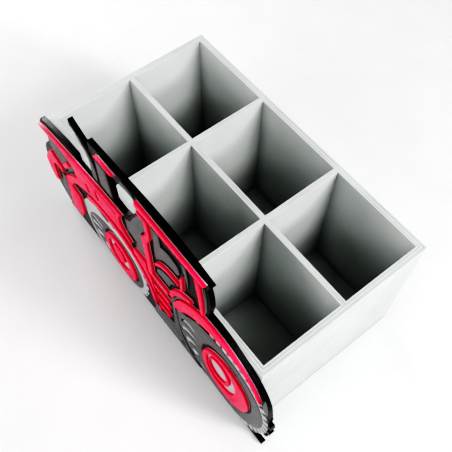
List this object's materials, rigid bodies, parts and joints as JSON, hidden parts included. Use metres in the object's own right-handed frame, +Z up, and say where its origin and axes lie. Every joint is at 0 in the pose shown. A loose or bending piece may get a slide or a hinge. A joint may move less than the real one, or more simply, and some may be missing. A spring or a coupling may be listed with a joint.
{
  "type": "desk organizer bin",
  "caption": "Open-top rectangular divided bin for small items, with a flat layered tractor relief fixed on its long front side.",
  "frame": {"origin": "centre of the bin's underside, which rests on the table", "axes": "+X along the long side away from the tractor's nose, +Y from the relief to the back, +Z up"},
  "size_m": [0.1784, 0.0899, 0.1137],
  "materials": {
    "bin_plastic": "light grey printed plastic with fine layer lines",
    "black_plastic": "black printed plastic",
    "pale_plastic": "light grey printed layer",
    "dark_plastic": "dark grey printed layer",
    "red_plastic": "bright red printed plastic, slight sheen"
  },
  "bodies": {
    "root": {"bin": "bin_plastic", "back_sheet": "black_plastic", "rear_tread": "pale_plastic", "front_tread": "pale_plastic", "rear_wheel_disc": "pale_plastic", "front_wheel_disc": "pale_plastic", "exhaust_face": "dark_plastic", "windscreen": "dark_plastic", "scuttle_cap": "dark_plastic", "side_glass": "dark_plastic", "seat": "dark_plastic", "door_glass": "dark_plastic", "cab_rear_bar": "dark_plastic", "cab_rear_edge": "dark_plastic", "fender_end": "dark_plastic", "grille": "dark_plastic", "underbody": "dark_plastic", "front_bracket": "dark_plastic", "rear_tyre": "dark_plastic", "front_tyre": "dark_plastic", "bonnet": "red_plastic", "visor": "red_plastic", "roof_rail": "red_plastic", "door_frame": "red_plastic", "seat_rail": "red_plastic", "cab_handle": "red_plastic", "cab_sill_arc": "red_plastic", "rear_fender": "red_plastic", "rear_pillar": "red_plastic", "step_top": "red_plastic", "step_middle": "red_plastic", "step_bottom": "red_plastic", "step_rail": "red_plastic", "front_fender": "red_plastic", "front_block": "red_plastic", "front_weight": "red_plastic", "rear_rim": "red_plastic", "rear_hub": "red_plastic", "front_rim": "red_plastic", "front_hub": "red_plastic", "grille_bar": "red_plastic"}
  },
  "joints": []
}
